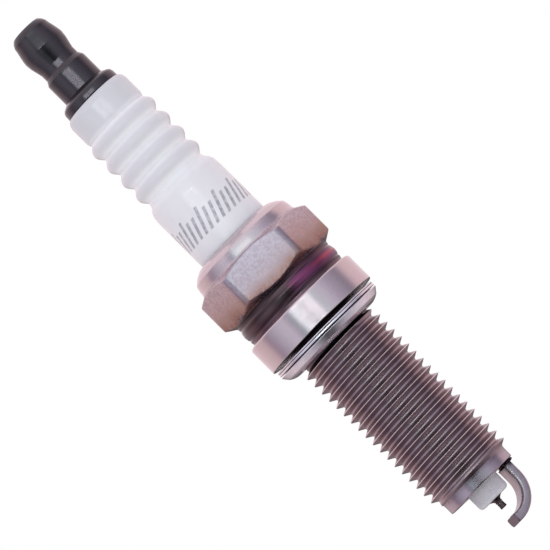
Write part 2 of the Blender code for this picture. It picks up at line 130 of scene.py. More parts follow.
def rounded(corners, steps=5, support=0.05):
    """An outline from (r, z) or (r, z, fillet) corners.

    Each fillet is an arc of that many steps. Points near the ends of each long straight hold its shading."""
    smooth = []
    for i, corner in enumerate(corners):
        here = Vector(corner[:2])
        fillet = corner[2] if len(corner) > 2 else 0.0
        if fillet == 0 or i in (0, len(corners) - 1):
            smooth.append(here)
            continue
        back = Vector(corners[i - 1][:2]) - here
        ahead = Vector(corners[i + 1][:2]) - here
        half_turn = back.angle(ahead) / 2
        reach = min(fillet / math.tan(half_turn), 0.48 * back.length, 0.48 * ahead.length)
        radius = reach * math.tan(half_turn)
        bisector = (back.normalized() + ahead.normalized()).normalized()
        centre = here + bisector * (radius / math.sin(half_turn))
        start = here + back.normalized() * reach - centre
        sweep = start.angle_signed(here + ahead.normalized() * reach - centre)
        for step in range(steps + 1):
            smooth.append(centre + Matrix.Rotation(-sweep * step / steps, 2) @ start)
    held = []
    for first, second in zip(smooth, smooth[1:]):
        held.append(first)
        gap = second - first
        if gap.length > 4 * support:
            held += [first + gap.normalized() * support, second - gap.normalized() * support]
    held.append(smooth[-1])
    return [tuple(point) for point in held]


def finely_cut(points, longest, bottom, top):
    """The outline with its long steps between two heights cut up, where the form varies round the axis."""
    fine = []
    for (r0, z0), (r1, z1) in zip(points, points[1:]):
        inside = bottom < (z0 + z1) / 2 < top
        cuts = math.ceil(math.hypot(r1 - r0, z1 - z0) / longest) if inside else 1
        fine += [(r0 + (r1 - r0) * i / cuts, z0 + (z1 - z0) * i / cuts) for i in range(cuts)]
    return fine + [points[-1]]


def ring_grid(points, sides, radius_at=None):
    """Vertices and quads of a turned outline, which radius_at(r, z, angles) may vary round the axis."""
    angles = np.linspace(0, 2 * math.pi, sides, endpoint=False)
    rows = []
    for r, z in points:
        radii = radius_at(r, z, angles) if radius_at else np.full(sides, r)
        rows.append(np.stack([radii * np.cos(angles), radii * np.sin(angles), np.full(sides, z)], axis=1))
    return np.concatenate(rows), quads(len(points), sides)


def quads(rows, sides, lead=0):
    """Quads of rows running down a shape. Going once round it leads into the row that many further on."""
    faces = []
    for row in range(rows - 1):
        for side in range(sides):
            beyond = (side + 1) % sides
            shift = lead if beyond == 0 else 0
            if row + 1 + shift >= rows or row + shift < 0:
                continue
            faces.append(
                (
                    row * sides + side,
                    (row + 1) * sides + side,
                    (row + 1 + shift) * sides + beyond,
                    (row + shift) * sides + beyond,
                )
            )
    return faces


def thread_grid(crest, root, pitch, top, bottom, sides, phase=0.0, crest_flat=0.125, soft=0.02):
    """A right-hand thread between two heights, whose rows follow the helix. It fades out at both ends.

    phase raises the helix, crest_flat is the crest's share of the pitch, and soft rounds the edges."""
    half_crest = crest_flat * pitch / 2
    half_root = half_crest + (crest - root) * math.tan(math.radians(30))
    half_pitch = pitch / 2
    tooth = [
        (-half_root - soft, root),
        (-half_root + soft, root + 1.5 * soft),
        (-half_crest - 1.5 * soft, crest - 2.5 * soft),
        (-half_crest + soft / 2, crest - soft / 3),
        (0, crest),
        (half_crest - soft / 2, crest - soft / 3),
        (half_crest + 1.5 * soft, crest - 2.5 * soft),
        (half_root - soft, root + 1.5 * soft),
        (half_root + soft, root),
        (half_pitch, root - soft / 2),
    ]
    turns = math.ceil((top - bottom) / pitch) + 2
    start = top + pitch + phase
    helix = [(start - pitch * turn - offset, r) for turn in range(turns + 1) for offset, r in tooth]
    angles = np.linspace(0, 2 * math.pi, sides, endpoint=False)
    fade = 0.75 * (crest - root)
    rows = []
    for height, r in helix:
        z = height + pitch * angles / (2 * math.pi)
        inside = np.minimum(top - z, z - bottom) * (crest - root) / fade
        radii = np.minimum(r, root + np.clip(inside, 0, crest - root))
        z = np.clip(z, bottom, top)
        rows.append(np.stack([radii * np.cos(angles), radii * np.sin(angles), z], axis=1))
    return np.concatenate(rows), quads(len(rows), sides, lead=-len(tooth))


def piece(name, grids, paint, body, node):
    """One closed, smooth piece from grids in millimetres. It rides on a body and stands for a CAD node."""
    shape = bmesh.new()
    for points, faces in grids:
        corners = [shape.verts.new(point) for point in points * MM]
        for face in faces:
            shape.faces.new([corners[i] for i in face])
    bmesh.ops.remove_doubles(shape, verts=shape.verts, dist=WELD_DISTANCE * MM)
    bmesh.ops.dissolve_degenerate(shape, edges=shape.edges, dist=WELD_DISTANCE * MM / 4)
    bmesh.ops.holes_fill(shape, edges=[e for e in shape.edges if e.is_boundary])
    bmesh.ops.recalc_face_normals(shape, faces=shape.faces)
    mesh = bpy.data.meshes.new(name)
    shape.to_mesh(mesh)
    shape.free()
    mesh.shade_smooth()
    made = bpy.data.objects.new(name, mesh)
    bpy.context.scene.collection.objects.link(made)
    mesh.materials.append(paint)
    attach(made, body)
    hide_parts(node)
    return made


def turned(name, outline, paint, body, node):
    """A small turned piece, from an outline that starts and ends on the axis."""
    return piece(name, [ring_grid(outline, FINE_SIDES)], paint, body, node)


# ---------------------------------------------------------------- materials


class Nodes:
    """Short ways to add shader nodes to a tree."""

    def __init__(self, tree):
        self.tree = tree

    def add(self, kind, *inputs, **settings):
        """A node whose inputs are linked or set in order, and whose other settings are given by name."""
        node = self.tree.nodes.new(kind)
        for key, value in settings.items():
            setattr(node, key, value)
        for i, value in enumerate(inputs):
            if isinstance(value, bpy.types.NodeSocket):
                self.tree.links.new(value, node.inputs[i])
            elif value is not None:
                node.inputs[i].default_value = value
        return node

    def math(self, operation, a, b=None, c=None):
        """The result of a Math node."""
        return self.add("ShaderNodeMath", a, b, c, operation=operation).outputs[0]

    def ramp(self, value, stops):
        """A colour that follows (value, colour) stops."""
        node = self.add("ShaderNodeValToRGB", value)
        while len(node.color_ramp.elements) < len(stops):
            node.color_ramp.elements.new(0.5)
        for element, (at, colour) in zip(node.color_ramp.elements, stops):
            element.position = at
            element.color = (*colour, 1.0)
        return node.outputs[0]

    def steps(self, value, stops):
        """A number that follows (value, number) stops in straight lines, and stays level beyond them."""
        total = stops[0][1]
        for (v0, n0), (v1, n1) in zip(stops, stops[1:]):
            change = self.add("ShaderNodeMapRange", value, v0, v1, 0.0, n1 - n0).outputs[0]
            total = self.math("ADD", change, total)
        return total

    def mix(self, amount, a, b):
        """A colour that goes from a to b."""
        node = self.add("ShaderNodeMix", data_type="RGBA")
        for socket, value in ((0, amount), (6, a), (7, b)):
            if isinstance(value, bpy.types.NodeSocket):
                self.tree.links.new(value, node.inputs[socket])
            else:
                node.inputs[socket].default_value = (*value, 1.0) if hasattr(value, "__len__") else value
        return node.outputs[2]


class Paint(Nodes):
    """A Principled material, with short ways to vary it over the surface."""

    def __init__(self, name, colour, roughness, metallic=0.0):
        self.material = bpy.data.materials.new(name)
        self.material.use_nodes = True
        super().__init__(self.material.node_tree)
        self.shader = self.tree.nodes["Principled BSDF"]
        self.set("Base Color", (*colour, 1.0))
        self.set("Roughness", roughness)
        self.set("Metallic", metallic)
        self.place = self.add("ShaderNodeTexCoord").outputs["Object"]
        self.x, self.y, self.z = self.add("ShaderNodeSeparateXYZ", self.place).outputs

    def set(self, socket, value):
        """Links or sets one of the shader's own sockets."""
        if isinstance(value, bpy.types.NodeSocket):
            self.tree.links.new(value, self.shader.inputs[socket])
        else:
            self.shader.inputs[socket].default_value = value

    def radius(self):
        """The distance from the plug's axis."""
        squared = self.math("MULTIPLY_ADD", self.x, self.x, self.math("MULTIPLY", self.y, self.y))
        return self.math("SQRT", squared)

    def between(self, value, low, high):
        """0 below low, 1 above high, smooth in between. The limits are in millimetres."""
        limits = (low * MM, high * MM, 0.0, 1.0)
        return self.add("ShaderNodeMapRange", value, *limits, interpolation_type="SMOOTHSTEP").outputs[0]

    def band(self, value, low, high, soft):
        """1 between low and high and 0 outside them, with soft edges."""
        rise = self.between(value, low - soft, low + soft)
        fall = self.between(value, high - soft, high + soft)
        return self.math("SUBTRACT", rise, fall)

    def heights(self, height, stops):
        """A colour that follows (millimetres, colour) stops up a height."""
        low, high = stops[0][0], stops[-1][0]
        share = self.add("ShaderNodeMapRange", height, low * MM, high * MM).outputs[0]
        return self.ramp(share, [((at - low) / (high - low), colour) for at, colour in stops])

    def noise(self, per_mm, detail=3.0, stretch=(1, 1, 1)):
        """Noise of about that many features a millimetre, between 0 and 1."""
        scale = [share * per_mm / MM for share in stretch]
        scaled = self.add("ShaderNodeVectorMath", self.place, scale, operation="MULTIPLY").outputs[0]
        return self.add("ShaderNodeTexNoise", scaled, None, 1.0, detail).outputs[0]

    def spread(self, value, low, high):
        """A 0 to 1 value, stretched to run from low to high."""
        return self.math("MULTIPLY_ADD", value, high - low, low)

    def bump(self, height, depth):
        """Raises the surface by height, a 0 to 1 value, times depth in millimetres."""
        node = self.add("ShaderNodeBump")
        node.inputs["Distance"].default_value = depth * MM
        self.tree.links.new(height, node.inputs["Height"])
        self.set("Normal", node.outputs[0])


def blackened_steel():
    """The terminal's black oxide: dark, smooth and a little mottled."""
    p = Paint("blackened_steel", (0.012, 0.011, 0.012), 0.16)
    p.set("IOR", 1.72)
    p.set("Specular Tint", (1.0, 0.9, 0.98, 1.0))
    p.set("Base Color", p.mix(p.noise(1.6, 4.0), (0.003, 0.003, 0.004), (0.012, 0.010, 0.012)))
    p.set("Roughness", p.spread(p.noise(5.0, 3.0), 0.09, 0.15))
    p.bump(p.noise(9.0, 2.0, (1, 1, 2.5)), 0.004)
    return p.material


def turned_metal(name, colour):
    """A plain bright metal with faint turning lines."""
    p = Paint(name, colour, 0.3, 1.0)
    lines = p.noise(2.0, 2.0, (0.3, 0.3, 8))
    darker = [0.72 * channel for channel in colour]
    p.set("Base Color", p.mix(p.noise(1.2), darker, colour))
    p.set("Roughness", p.spread(lines, 0.2, 0.45))
    p.bump(lines, 0.004)
    return p.material


def printed_ticks(p):
    """A ring of slanted ticks round the barrel, long and short: 1 where there is ink."""
    angle = p.math("ARCTAN2", p.y, p.x)
    lean = p.math("MULTIPLY_ADD", p.z, -TICK_LEAN, angle)
    turns = p.math("MULTIPLY", lean, TICK_COUNT / (2 * math.pi))
    tick = p.add("ShaderNodeMapRange", p.math("PINGPONG", turns, 0.5), 0.24, 0.31, 0.0, 1.0).outputs[0]
    short = p.math("GREATER_THAN", p.math("PINGPONG", p.math("FLOOR", turns), 1.5), 0.6)
    reach = p.math("MULTIPLY_ADD", short, TICK_STEP * MM, p.z)
    zone = p.band(reach, TICK_BOTTOM + TICK_STEP, TICK_TOP, TICK_EDGE)
    zone = p.math("MAXIMUM", zone, p.band(p.z, TICK_BOTTOM, TICK_TOP - TICK_STEP, TICK_EDGE))
    worn = p.add("ShaderNodeMapRange", p.noise(2.2, 3.0), 0.32, 0.6, 0.55, 1.0).outputs[0]
    return p.math("MULTIPLY", p.math("MULTIPLY", tick, zone), worn)


def glazed_ceramic():
    """White glazed ceramic with a ring of printed ticks, and the bare grey body of the nose. Painted shade
    greys the rib crests, the plain stretch under the rim and, a little, the plain barrel.
    """
    p = Paint("glazed_ceramic", (0.88, 0.88, 0.91), 0.1)
    cloud = p.noise(0.35, 3.0)
    # Painted shade: the plain barrel is painted a little darker than the glaze of the ribs above it
    barrel = p.mix(cloud, (0.82, 0.81, 0.825), (0.87, 0.86, 0.87))
    upper = p.mix(cloud, (0.90, 0.90, 0.91), (0.95, 0.95, 0.95))
    glaze = p.mix(p.between(p.z, *BARREL_TOP), barrel, upper)
    # Painted shade: the rib crests are painted grey
    ribs = p.band(p.z, TOP_RIB - RIB_PITCH * (RIB_COUNT - 0.4), TOP_RIB + 0.6 * RIB_PITCH, 0.3)
    crest = p.between(p.radius(), RIB_VALLEY + 0.25, RIB_CREST - 0.05)
    glaze = p.mix(p.math("MULTIPLY", ribs, crest), glaze, (0.74, 0.735, 0.755))
    # Painted shade: the plain stretch under the rim is painted greyer still
    land_painted_shade = p.between(p.z, TOP_RIB + 0.4 * RIB_PITCH, TOP_RIB + 0.8 * RIB_PITCH)
    glaze = p.mix(land_painted_shade, glaze, (0.70, 0.70, 0.72))
    printed = p.mix(printed_ticks(p), glaze, (0.38, 0.38, 0.41))
    bare = p.math("SUBTRACT", 1.0, p.between(p.z, *GLAZE_END))
    soot = p.mix(p.noise(1.5, 4.0), (0.54, 0.52, 0.55), (0.68, 0.66, 0.69))
    p.set("Base Color", p.mix(bare, printed, soot))
    p.set("Roughness", p.math("MULTIPLY_ADD", bare, 0.5, p.spread(p.noise(1.0), 0.08, 0.16)))
    p.bump(p.noise(0.7, 2.0), 0.012)
    return p.material


def hexagon_tint_and_reflection(p):
    """Satin plate with a brown heat tint at its foot and speckled all over; its front flat is painted
    greyer, a painted reflection of the grey-lilac studio in front.
    """
    height = p.math("MULTIPLY_ADD", p.noise(0.3, 2.0), 2.4 * MM, p.z)
    tint = p.heights(height, [
        (10.5, (0.07, 0.035, 0.05)),
        (11.1, (0.30, 0.14, 0.10)),
        (11.9, (0.38, 0.23, 0.18)),
        (12.9, (0.50, 0.35, 0.33)),
        (14.4, (0.55, 0.44, 0.46)),
        (16.6, (0.60, 0.53, 0.56)),
    ])
    # Painted reflection: the flat facing -Y is painted the grey-lilac that it mirrors, from a little above
    # its foot
    front = p.between(p.math("MULTIPLY", p.y, -1.0), 7.3, 7.8)
    front = p.math("MULTIPLY", front, p.steps(p.z, [(10.2 * MM, 0.1), (11.5 * MM, 0.6)]))
    tint = p.mix(front, tint, (0.40, 0.375, 0.45))
    speckle = p.add("ShaderNodeMapRange", p.noise(3.0, 2.0), 0.4, 0.62, 0.0, 0.55).outputs[0]
    return p.mix(speckle, tint, (0.36, 0.28, 0.30))


def groove_stain_and_shade(p):
    """The buckle groove's heat stain: dark rings on one side, turning to red and violet on the other. Its
    rings of light and dark up the height are partly painted shade and painted highlight, and the dark ring
    under the hexagon is painted shade.
    """
    # Painted shade and painted highlight: both ramps put rings of light and dark up the groove over its heat
    # colours, dark under the hexagon at the top
    dark = p.heights(p.z, [
        (6.5, (0.13, 0.08, 0.095)),
        (6.8, (0.18, 0.105, 0.125)),
        (7.0, (0.03, 0.018, 0.02)),
        (7.4, (0.10, 0.06, 0.07)),
        (7.8, (0.13, 0.085, 0.09)),
        (8.2, (0.06, 0.042, 0.045)),
        (8.6, (0.13, 0.09, 0.095)),
        (9.3, (0.03, 0.02, 0.022)),
    ])
    bright = p.heights(p.z, [
        (6.5, (0.16, 0.10, 0.12)),
        (6.95, (0.06, 0.035, 0.045)),
        (7.25, (0.13, 0.055, 0.10)),
        (7.6, (0.24, 0.07, 0.15)),
        (7.95, (0.42, 0.09, 0.13)),
        (8.3, (0.18, 0.06, 0.13)),
        (8.55, (0.08, 0.05, 0.07)),
        (8.8, (0.15, 0.075, 0.10)),
        (9.3, (0.05, 0.03, 0.04)),
    ])
    side = p.math("SUBTRACT", 0.7, p.between(p.x, 3.5, 6.0))
    violet = p.math("MULTIPLY", p.band(p.z, 7.3, 8.5, 0.3), side)
    bright = p.mix(violet, bright, (0.20, 0.06, 0.15))
    hot = p.between(p.math("MULTIPLY_ADD", p.noise(0.3, 2.0), 4.0 * MM, p.x), 1.0, 4.0)
    return p.mix(hot, dark, bright)


def thread_mottle_and_painted_light(p):
    """Dark mottled flanks and roots, with painted highlights: the crests painted bright and the roots a
    little lighter than the upper flanks; and painted shadow at its start under the neck.
    """
    radius = p.radius()
    # Painted highlight: the top of each crest is painted bright, and the roots are painted a little lighter
    # than the upper flanks
    crest = p.between(radius, THREAD_CREST - 0.08, THREAD_CREST - 0.015)
    depth = p.between(radius, THREAD_ROOT + 0.1, THREAD_CREST - 0.3)
    flank = p.mix(depth, (0.45, 0.36, 0.38), (0.35, 0.27, 0.285))
    flank = p.mix(p.noise(2.5, 4.0), flank, (0.29, 0.22, 0.235))
    # The crests' painted highlight, laid over the flanks
    worn = p.mix(crest, flank, (0.85, 0.73, 0.72))
    # Painted shadow at the thread's start, under the gasket and neck
    start = p.math("MULTIPLY", p.between(p.z, THREAD_TOP - 0.6, THREAD_TOP - 0.25), 0.85)
    return p.mix(start, worn, (0.09, 0.065, 0.075))


def shell_metal():
    """Nickel plate: satin crimp and hexagon, heat-tinted groove with painted shade, polished collar, dark
    thread with painted highlights, and painted shadows at the lip and neck.
    """
    p = Paint("nickel_plate", (0.6, 0.52, 0.53), 0.25, 1.0)
    radius = p.radius()
    crimp = p.between(p.z, HEX_TOP, HEX_TOP + 0.2)
    hexagon = p.band(p.z, HEX_BOTTOM - 0.05, HEX_TOP + 0.1, 0.06)
    groove = p.band(p.z, COLLAR_TOP + 0.02, HEX_BOTTOM + 0.05, 0.06)
    collar = p.band(p.z, SEAT - 0.1, COLLAR_TOP - 0.02, 0.05)
    threaded = p.band(p.z, SHELL_END - 2, 0.6, 0.3)
    pilot = p.band(p.z, SHELL_END - 1, THREAD_BOTTOM - 0.1, 0.08)
    # Two painted shadows: in the gap between lip and ceramic, and on the neck in the collar's shadow
    lip_shadow_radius = p.math("SUBTRACT", 1.0, p.between(radius, BARREL_RADIUS + 0.25, BARREL_RADIUS + 0.5))
    lip = p.math("MULTIPLY", p.between(p.z, HEX_TOP, HEX_TOP + 1), lip_shadow_radius)
    collar_shadow_radius = p.math("SUBTRACT", 1.0, p.between(radius, COLLAR_RADIUS, COLLAR_RADIUS + 1))
    neck = p.math("MULTIPLY", p.band(p.z, -0.12, SEAT + 0.06, 0.04), collar_shadow_radius)

    grain = p.noise(3.2, 4.0)
    plain = p.heights(p.z, [
        (-25.2, (0.50, 0.42, 0.46)),
        (-24.3, (0.42, 0.36, 0.40)),
        (-23.7, (0.13, 0.10, 0.12)),
    ])
    colour = p.mix(grain, (0.60, 0.50, 0.52), (0.67, 0.58, 0.59))
    colour = p.mix(hexagon, colour, hexagon_tint_and_reflection(p))
    # Painted shadow in the gap between the lip and the ceramic
    colour = p.mix(lip, colour, (0.12, 0.08, 0.10))
    colour = p.mix(groove, colour, groove_stain_and_shade(p))
    colour = p.mix(threaded, colour, thread_mottle_and_painted_light(p))
    # Painted shadow on the neck under the collar
    colour = p.mix(neck, colour, (0.012, 0.008, 0.01))
    colour = p.mix(pilot, colour, p.mix(grain, plain, (0.46, 0.39, 0.43)))
    p.set("Base Color", colour)

    rough = p.spread(p.noise(7.0, 3.0), 0.22, 0.34)
    changes = (
        (hexagon, 0.03),
        (collar, -0.14),
        (groove, -0.04),
        (threaded, 0.03),
        (pilot, -0.15),
        (crimp, -0.15),
    )
    for zone, change in changes:
        rough = p.math("MULTIPLY_ADD", zone, change, rough)
    p.set("Roughness", rough)

    turning = p.noise(1.0, 3.0, (0.15, 0.15, 9))
    line_depth = p.math("MULTIPLY_ADD", pilot, -0.1, p.math("MULTIPLY_ADD", groove, 0.5, 0.12))
    pit_depth = p.math("MULTIPLY_ADD", hexagon, 0.5, 0.03)
    lines = p.math("MULTIPLY", turning, line_depth)
    pits = p.math("MULTIPLY", p.noise(8.0, 2.0), pit_depth)
    p.bump(p.math("ADD", lines, pits), 0.02)
    return p.material


def gasket_metal():
    """Bright rolled sheet steel."""
    p = Paint("gasket_steel", (0.6, 0.58, 0.6), 0.25, 1.0)
    lines = p.noise(1.5, 3.0, (0.3, 0.3, 7))
    metal = p.mix(p.noise(1.4), (0.68, 0.64, 0.69), (0.92, 0.89, 0.93))
    height = p.math("MULTIPLY_ADD", p.y, -math.sin(GASKET_TILT), p.z)
    lower = p.band(height, *GASKET_SEAM, 0.03)
    upper = p.band(height, GASKET_TOP - 0.4, GASKET_TOP - 0.32, 0.02)
    seams = p.math("MULTIPLY", p.math("ADD", lower, upper), 0.95)
    p.set("Base Color", p.mix(seams, metal, (0.02, 0.016, 0.02)))
    p.set("Roughness", p.spread(lines, 0.08, 0.26))
    p.bump(lines, 0.008)
    return p.material


def oxidised_nickel():
    """The centre electrode's nickel alloy, dark with oxide and with lengthwise drawing marks."""
    p = Paint("oxidised_nickel", (0.14, 0.1, 0.1), 0.3, 1.0)
    drawn = p.noise(3.0, 3.0, DRAWING_MARKS)
    p.set("Base Color", p.mix(p.noise(1.3, 4.0), (0.05, 0.035, 0.035), (0.14, 0.1, 0.1)))
    p.set("Roughness", p.spread(drawn, 0.22, 0.42))
    p.bump(drawn, 0.01)
    return p.material


def strap_metal():
    """The strap's nickel alloy, heat-stained at its root and dark on its cut end."""
    p = Paint("strap_nickel", (0.4, 0.36, 0.38), 0.3, 1.0)
    drawn = p.noise(3.0, 3.0, DRAWING_MARKS)
    plain = p.mix(p.noise(1.3, 4.0), (0.32, 0.28, 0.30), (0.50, 0.45, 0.47))
    out = p.math("MULTIPLY", p.x, math.cos(STRAP_TURN))
    out = p.math("MULTIPLY_ADD", p.y, math.sin(STRAP_TURN), out)
    end = p.math("SUBTRACT", 1.0, p.between(out, STRAP_TIP_X + 0.02, STRAP_TIP_X + 0.3))
    root = p.between(p.z, SHELL_END - 1.1, SHELL_END - 0.4)
    outer = p.between(out, 3.5, 4.2)
    stain = p.math("MULTIPLY", root, p.spread(outer, 0.35, 1.0))
    colour = p.mix(stain, p.mix(end, plain, (0.17, 0.13, 0.16)), (0.05, 0.04, 0.05))
    p.set("Base Color", colour)
    p.set("Roughness", p.spread(drawn, 0.2, 0.36))
    p.bump(drawn, 0.01)
    return p.material


def dull(name, low, high, roughness, metallic=0.0, per_mm=2.0, depth=0.02):
    """A mottled material, for the weld flash and for the pieces inside."""
    p = Paint(name, high, roughness, metallic)
    p.set("Base Color", p.mix(p.noise(per_mm, 4.0), low, high))
    p.set("Roughness", p.spread(p.noise(per_mm * 2), roughness * 0.8, min(1.0, roughness * 1.2)))
    p.bump(p.noise(per_mm * 3, 3.0), depth)
    return p.material


# ---------------------------------------------------------------- the pieces


def make_terminal(paint):
    """The barrel nut on the stud: bead, neck groove and lower barrel, with a plain clearance bore."""
    bore = 2.07
    neck = 2.62
    barrel = 3.0
    foot = NUT_BOTTOM - 0.12
    outline = rounded([
        (0, NUT_TOP),
        (1.2, NUT_TOP - 0.02, 3),
        (2.08, NUT_TOP - 0.12, 0.3),
        (2.42, 53.3, 0.4),
        (2.63, 52.9, 0.6),
        (2.7, 52.45, 1.5),
        (2.87, 51.7, 4),
        (3.02, 50.9, 3),
        (NUT_RADIUS, 50.5, 0.8),
        (2.98, 49.75, 2.5),
        (2.74, 48.75, 2.0),
        (neck, 48.2, 0.7),
        (neck, 47.28, 0.12),
        (2.98, 46.66, 0.1),
        (barrel, 46.4, 0.3),
        (barrel, foot, 0.03),
        (bore + 0.25, foot, 0.05),
        (bore, NUT_BOTTOM + 0.2, 0.05),
        (bore, 51.0, 0.05),
        (0, 51.6),
    ])
    return turned("terminal_barrel", outline, paint, "terminal_nut", "terminal_nut")


def make_stud(paint):
    """The stud: M4 thread, cupped round flange on the ceramic, shank and grooved tip."""
    seat = INSULATOR_TOP + 0.05
    root, crest, pitch = 1.55, 1.95, 0.7
    thread_top, thread_bottom = 50.4, 44.15
    flange = 4.06
    shank = 1.7
    tail = 1.25
    upper = rounded([(0, 50.6), (1.25, 50.6, 0.05), (root, thread_top)])
    lower = rounded([
        (root, thread_bottom),
        (1.62, 43.7, 0.2),
        (1.9, 43.5, 0.1),
        (3.1, 43.5, 0.08),
        (3.42, 43.3, 0.6),
        (3.76, 43.11, 0.3),
        (3.97, 42.88, 0.2),
        (flange, 42.5, 0.3),
        (flange, seat, 0.1),
        (shank, seat, 0.05),
        (shank, 21.0, 0.1),
        (tail, 20.5, 0.1),
    ])
    grooves = [(tail - 0.12 * (i % 2), 20.2 - 0.3 * i) for i in range(7)]
    end = rounded([(tail, 18.3), (tail - 0.1, 18.2, 0.05), (0, 18.2)])
    grids = [
        ring_grid(upper, FINE_SIDES),
        thread_grid(crest, root, pitch, thread_top, thread_bottom, FINE_SIDES, soft=0.012),
        ring_grid(lower + grooves + end, FINE_SIDES),
    ]
    return piece("stud_and_flange", grids, paint, "plug", "terminal_stud")


def rib_outline():
    """Four wide round ribs with narrower valleys, as one smooth wave between two plain stretches."""
    roundness = 0.03  # of the valleys, against the V that they would otherwise be
    points_per_rib = 22
    top = TOP_RIB + RIB_PITCH * 0.5
    heights = np.linspace(top, top - RIB_PITCH * (RIB_COUNT + 0.02), RIB_COUNT * points_per_rib)
    wave = 0.5 + 0.5 * np.cos(2 * math.pi * (heights - TOP_RIB) / RIB_PITCH)
    share = np.sqrt((wave + roundness) / (1 + roundness))
    return list(zip(RIB_VALLEY + (RIB_CREST - RIB_VALLEY) * share, heights))


def make_insulator(paint):
    """The ceramic, from the rim under the flange to the nose, with its stepped bore."""
    bore = 2.0
    nose_bore = 1.22
    shoulder = 6.45
    core = 3.65
    upper = rounded([
        (bore, INSULATOR_TOP),
        (4.2, INSULATOR_TOP, 0.12),
        (4.5, INSULATOR_TOP - 0.4, 0.5),
        (4.63, INSULATOR_TOP - 0.9, 1.0),
        (4.62, 38.4, 0.8),
        (4.5, 37.95),
    ])
    lower = rounded([
        (4.52, 27.25),
        (4.9, 26.85, 0.6),
        (5.17, 26.25, 1.2),
        (5.26, 25.2, 6),
        (BARREL_RADIUS, 22, 8),
        (BARREL_RADIUS, 10.6, 0.2),
        (6.0, 10.5, 0.2),
        (shoulder, 10.1, 0.2),
        (shoulder, 5.0, 0.3),
        (core, 3.0, 0.3),
        (core, -9.5, 0.1),
        (3.05, -10.1, 0.2),
        (2.33, -23.0, 3),
        (2.28, NOSE_TIP, 0.5),
        (nose_bore, NOSE_TIP, 0.12),
        (nose_bore, 1.55, 0.1),
        (bore, 2.3, 0.1),
        (bore, INSULATOR_TOP),
    ])
    grid = ring_grid(upper + rib_outline() + lower, SIDES)
    return piece("insulator_ceramic", [grid], paint, "plug", "insulator")


def hexagon_radius(r, z, angles):
    """Cuts the blank to the hexagon, with soft edges where its flats meet the corners and chamfers."""
    if z < HEX_CUT_BOTTOM or z > HEX_CUT_TOP or r < HEX_CUT_RADIUS:
        return np.full(len(angles), r)
    from_flat = angles % (math.pi / 3) - math.pi / 6
    flat = HEX_ACROSS_FLATS / 2 / np.cos(from_flat)
    closeness = np.clip(HEX_CORNER_ROUNDING - np.abs(flat - r), 0, None) / HEX_CORNER_ROUNDING
    return np.minimum(flat, r) - closeness**2 * HEX_CORNER_ROUNDING / 4


def shell_outside():
    """The shell's outline from the crimp's lip down to the start of the thread."""
    crimp = [
        (CRIMP_RADIUS, LIP_HEIGHT),
        (CRIMP_RADIUS, CRIMP_TOP - 0.2, 0.06),
        (5.55, CRIMP_TOP - 0.15, 0.1),
        (6.1, 17.48, 0.6),
        (6.85, 17.05, 1.2),
        (7.5, 16.45, 0.45),
        (7.64, 15.8, 2.0),
        (7.7, 15.2, 0.1),
        (7.78, HEX_TOP, 0.08),
    ]
    hexagon = [
        (HEX_CORNER, 14.2, 0.25),
        (HEX_CORNER, 10.15, 0.25),
        (7.8, HEX_BOTTOM + 0.12, 0.15),
    ]
    groove = [
        (7.62, HEX_BOTTOM - 0.05, 0.1),
        (7.6, 9.0, 0.2),
        (7.5, 8.8, 0.2),
        (7.66, 8.45, 0.3),
        (7.75, 7.95, 0.7),
        (7.66, 7.4, 0.3),
        (7.5, 7.15, 0.15),
        (7.6, 6.95, 0.15),
        (7.52, 6.6, 0.1),
        (7.52, COLLAR_TOP, 0.08),
    ]
    collar = [
        (COLLAR_RADIUS, COLLAR_TOP, 0.38),
        (COLLAR_RADIUS, SEAT + 0.1, 0.04),
        (COLLAR_RADIUS - 0.1, SEAT, 0.03),
        (NECK_RADIUS, SEAT, 0.1),
        (NECK_RADIUS, THREAD_TOP + 0.1, 0.03),
        (THREAD_ROOT, THREAD_TOP),
    ]
    outline = rounded(crimp + hexagon + groove + collar)
    return finely_cut(outline, 0.12, HEX_CUT_BOTTOM, HEX_CUT_TOP)


def shell_inside():
    """The shell's outline from the thread's end, round the pilot and up the stepped bore to the lip."""
    mouth = 3.6
    seat = 3.3
    bore = 3.87
    chamber = 6.65
    return rounded([
        (THREAD_ROOT, THREAD_BOTTOM),
        (5.1, THREAD_BOTTOM - 0.06, 0.03),
        (5.09, THREAD_BOTTOM - 0.3, 0.1),
        (5.07, SHELL_END, 0.14),
        (mouth, SHELL_END, 0.12),
        (mouth, -12.6, 0.1),
        (seat, -12.3, 0.1),
        (seat, -10.7, 0.1),
        (bore, -10.13, 0.1),
        (bore, 2.75, 0.3),
        (chamber, 4.75, 0.3),
        (chamber, 16.35, 0.2),
        (6.45, 16.75, 0.1),
        (5.9, 17.05, 0.2),
        (CRIMP_RADIUS, LIP_HEIGHT),
    ], steps=3)


def make_shell(paint):
    """The steel body: crimp, hexagon, buckle groove, collar, neck, thread, pilot and stepped bore."""
    size = (THREAD_CREST, THREAD_ROOT, THREAD_PITCH, THREAD_TOP, THREAD_BOTTOM)
    grids = [
        ring_grid(shell_outside(), SIDES, hexagon_radius),
        thread_grid(*size, SIDES, phase=-0.35, crest_flat=0.04),
        ring_grid(shell_inside(), SIDES),
    ]
    return piece("shell_body", grids, paint, "plug", "shell")


